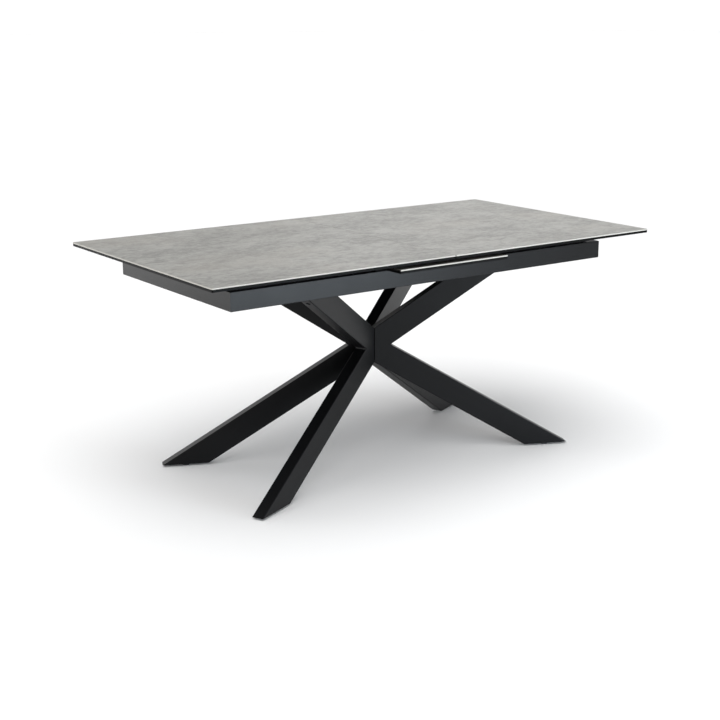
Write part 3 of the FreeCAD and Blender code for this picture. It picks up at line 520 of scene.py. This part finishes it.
def bead(name, run, settings, material):
    """A rippled weld bead along a straight run, thinner at its ends, on the base."""
    start, end = run
    length = (end - start).length
    along = (end - start).normalized()
    across = along.orthogonal().normalized()
    other = along.cross(across)
    steps = max(2, round(length / settings.step * STEPS_PER_RIPPLE))
    grid = bmesh.new()
    rings = []
    for step in range(steps + 1):
        share = step / steps
        from_end = min(share, 1 - share) * length
        ripple = 1 + RIPPLE_DEPTH * math.sin(math.tau * (step + 1) * length / (steps * settings.step))
        taper = min(1.0, START_WIDTH + (1 - START_WIDTH) * from_end / (2 * settings.radius))
        centre = start + (end - start) * share
        ring = []
        for side in range(settings.sides):
            angle = math.tau * side / settings.sides
            outwards = math.cos(angle) * across + math.sin(angle) * other
            ring.append(grid.verts.new(centre + settings.radius * ripple * taper * outwards))
        rings.append(ring)
    for before, after in zip(rings, rings[1:]):
        for side in range(settings.sides):
            following = (side + 1) % settings.sides
            grid.faces.new((before[side], before[following], after[following], after[side]))
    grid.faces.new(reversed(rings[0]))
    grid.faces.new(rings[-1])
    bmesh.ops.recalc_face_normals(grid, faces=grid.faces)
    for face in grid.faces:
        face.smooth = True
    mesh = bpy.data.meshes.new(name)
    grid.to_mesh(mesh)
    grid.free()
    mesh.materials.append(material)
    made = bpy.data.objects.new(name, mesh)
    bpy.context.scene.collection.objects.link(made)
    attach(made, "base")


def corners_of(node):
    """The corner points of a CAD node's mesh."""
    return [vertex.co for vertex in frame["nodes"][node].data.vertices]


def end_middle(node, height):
    """The middle, seen from above, of a member's corner points at one height."""
    level = [point for point in corners_of(node) if abs(point.z - height) < NEAR]
    middle = sum(level, Vector()) / len(level)
    return Vector((middle.x, middle.y, 0))


def crotch_run(corner, out):
    """The line where an arm's underside meets its leg, moved outwards into the angle between them."""
    arm, leg = f"arm_{corner}", f"leg_{corner}"
    foot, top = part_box(leg)[0].z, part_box(arm)[1].z
    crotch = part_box(arm)[0].z
    along = (end_middle(leg, foot) - end_middle(arm, top)).normalized()
    across = Vector((-along.y, along.x, 0))
    bottom = [point for point in corners_of(arm) if point.z < crotch + NEAR]
    reach = max(point.dot(along) for point in bottom)
    sides = [point.dot(across) for point in bottom if point.dot(along) > reach - NEAR]
    middle = along * (reach + out) + Vector((0, 0, crotch))
    return [middle + across * side for side in (min(sides), max(sides))]


def valley_runs(member, out):
    """The upright line where a member meets its mirror image, moved outwards, in runs between its holes."""
    mitre = [point for point in corners_of(member) if abs(point.y) < NEAR]
    reach = max(abs(point.x) for point in mitre)
    line = [point for point in mitre if abs(point.x) > reach - SAME]
    x = math.copysign(reach + out, line[0].x)
    heights = sorted({round(point.z, 4) for point in line})
    return [[Vector((x, 0, height)) for height in ends] for ends in zip(heights[::2], heights[1::2])]


def rail_runs(rail, sink):
    """Lines at a rail's two ends, sunk a little into the corners: up both sides and along under it."""
    low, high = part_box(rail)
    lower, upper = low.z + SIDE_MARGIN, high.z - SIDE_MARGIN
    left, right = low.x + UNDER_MARGIN, high.x - UNDER_MARGIN
    under = low.z - sink * UNDER_RAIL_DROP
    for side, y in (("front", low.y + sink), ("back", high.y - sink)):
        yield f"{side}_a", (Vector((low.x - sink, y, lower)), Vector((low.x - sink, y, upper)))
        yield f"{side}_b", (Vector((high.x + sink, y, lower)), Vector((high.x + sink, y, upper)))
        yield f"{side}_under", (Vector((left, y, under)), Vector((right, y, under)))


class TABLE_OT_welds(Operator):
    """Lay weld beads in the crossed base and where the rails meet the aprons"""
    bl_idname = "table.welds"
    bl_label = "Welds"

    def execute(self, context):
        settings = context.scene.table.weld
        # The beads' coat carries a painted glint.
        coat = weld_coat(context.scene.table.paint)
        for corner in ("front_left", "front_right", "back_left", "back_right"):
            bead(f"weld_crotch_{corner}", crotch_run(corner, settings.radius * CROTCH_OUT), settings, coat)
        for side in ("left", "right"):
            for member in ("arm", "leg"):
                runs = valley_runs(f"{member}_front_{side}", settings.radius)
                for number, run in enumerate(runs, start=1):
                    bead(f"weld_{member}s_{side}_{number}", run, settings, coat)
        for rail in ("cross_rail_left", "cross_rail_right", "gear_rail"):
            for place, run in rail_runs(rail, settings.radius * RAIL_SINK):
                bead(f"weld_{rail}_{place}", run, settings, coat)
        return {"FINISHED"}


# ---------------------------------------------------------------- studio

FLOOR_REACH = 80.0
FAR_CLIP = 100
SENSOR_WIDTH = 36.0

# The height, as a share of the way up, over which the walls turn into the ceiling.
WALL_TOP = (0.16, 0.42)

OVERHEAD_FROM = (-0.35, -0.25, 1.0)
OVERHEAD_SPREAD = math.radians(70)
MIDDLE = (0, 0, 0)

# Where each soft panel stands, what it faces, its width and height, and its tint.
PANELS = {
    "front_panel": ((1.2, -3.5, 0.35), (-0.2, 0, 0.5), (1.6, 0.75), (0.78, 0.88, 0.97)),
    "end_panel": ((-2.6, 3.2, 0.6), (-0.7, 0, 0.6), (1.6, 1.2), (1, 1, 1)),
    "right_panel": ((2.3, -0.15, 0.33), (-0.3, -0.1, 0.47), (1.2, 0.6), (1, 1, 1)),
    "back_panel": ((3.0, 3.0, 2.2), (0.3, 0.2, 0.75), (2.4, 1.6), (1, 1, 1)),
}


def aim(light, place, target):
    """Put a light somewhere, facing a point."""
    light.location = place
    light.rotation_mode = "QUATERNION"
    light.rotation_quaternion = (Vector(place) - Vector(target)).to_track_quat("Z", "Y")
    bpy.context.scene.collection.objects.link(light)


def overhead_light(strength):
    """A broad, even light from above."""
    sun = bpy.data.lights.new("overhead_light", "SUN")
    sun.energy = strength
    sun.angle = OVERHEAD_SPREAD
    aim(bpy.data.objects.new("overhead_light", sun), OVERHEAD_FROM, MIDDLE)


def soft_panel(name, power, place, target, size, tint):
    """A soft rectangular light that doesn't show itself."""
    data = bpy.data.lights.new(name, "AREA")
    data.shape = "RECTANGLE"
    data.size, data.size_y = size
    data.energy = power
    data.color = tint
    light = bpy.data.objects.new(name, data)
    light.visible_camera = False
    aim(light, place, target)


def studio_walls(settings):
    """White walls that darken towards the ceiling."""
    world = bpy.data.worlds.new("studio_walls")
    world.use_nodes = True
    nodes = Nodes(world.node_tree)
    direction = nodes.node("ShaderNodeTexCoord").outputs["Generated"]
    height = nodes.value("ShaderNodeSeparateXYZ", None, {"Vector": direction}, "Z")
    brightness = settings.walls + (settings.ceiling - settings.walls) * height.over(*WALL_TOP)
    background = nodes.tree.nodes["Background"]
    nodes.feed(background.inputs["Strength"], brightness)
    nodes.feed(background.inputs["Color"], opaque((1, 1, 1)))
    return world


def studio_floor(settings):
    """A plain pale floor that reaches as far as the camera sees."""
    shader = Shader("studio_floor")
    dust = shader.noise(0.25, (1, 1, 1), 3.0)
    shader.colour(shader.mix(dust * 0.1, opaque(settings.floor), opaque(settings.floor, 0.98)))
    shader.roughness(dust * 0.05 + 0.85)
    mesh = bpy.data.meshes.new("studio_floor")
    ends = (-FLOOR_REACH, FLOOR_REACH)
    mesh.from_pydata([(x, y, 0) for x in ends for y in ends], [], [(0, 2, 3, 1)])
    mesh.materials.append(shader.material)
    floor = bpy.data.objects.new("studio_floor", mesh)
    bpy.context.scene.collection.objects.link(floor)


def studio_camera(settings):
    """The camera, turned and raised round the table by the settings' angles."""
    data = bpy.data.cameras.new("camera")
    data.sensor_width = SENSOR_WIDTH
    data.lens = settings.lens
    data.shift_x = settings.shift
    data.clip_end = FAR_CLIP
    camera = bpy.data.objects.new("camera", data)
    camera.location = settings.camera
    turn, rise = math.radians(settings.azimuth), math.radians(settings.elevation)
    back = Vector((math.sin(turn) * math.cos(rise), -math.cos(turn) * math.cos(rise), math.sin(rise)))
    camera.rotation_mode = "QUATERNION"
    camera.rotation_quaternion = (-back).to_track_quat("-Z", "Y")
    bpy.context.scene.collection.objects.link(camera)
    bpy.context.scene.camera = camera


class TABLE_OT_studio(Operator):
    """Set up the floor, the lights and the camera"""
    bl_idname = "table.studio"
    bl_label = "Studio"

    def execute(self, context):
        settings = context.scene.table.studio
        studio_floor(settings)
        context.scene.world = studio_walls(settings)
        context.scene.view_settings.view_transform = "Standard"
        overhead_light(settings.overhead)
        for name, standing in PANELS.items():
            soft_panel(name, getattr(settings, name), *standing)
        studio_camera(settings)
        return {"FINISHED"}


# ---------------------------------------------------------------- sidebar and start

STEPS = (TABLE_OT_top, TABLE_OT_frame, TABLE_OT_hardware, TABLE_OT_welds, TABLE_OT_studio)


class TABLE_PT_sidebar(Panel):
    """The table's finishes in the sidebar"""
    bl_label = "Table"
    bl_idname = "TABLE_PT_sidebar"
    bl_space_type = "VIEW_3D"
    bl_region_type = "UI"
    bl_category = "Table"

    def draw(self, context):
        layout = self.layout
        settings = context.scene.table
        for group in ("stoneware", "glass", "paint", "weld", "studio"):
            box = layout.box()
            box.label(text=group.title())
            values = getattr(settings, group)
            for name in values.__annotations__:
                box.prop(values, name)
        for step in STEPS:
            layout.operator(step.bl_idname)


CLASSES = (StonewareSettings, GlassSettings, PaintSettings, WeldSettings, StudioSettings, TableSettings,
           *STEPS, TABLE_PT_sidebar)


def register():
    for made in CLASSES:
        bpy.utils.register_class(made)
    bpy.types.Scene.table = PointerProperty(type=TableSettings)


def unregister():
    del bpy.types.Scene.table
    for made in reversed(CLASSES):
        bpy.utils.unregister_class(made)


def main():
    register()
    for step in STEPS:
        group, name = step.bl_idname.split(".")
        getattr(getattr(bpy.ops, group), name)()


if __name__ == "__main__":
    main()
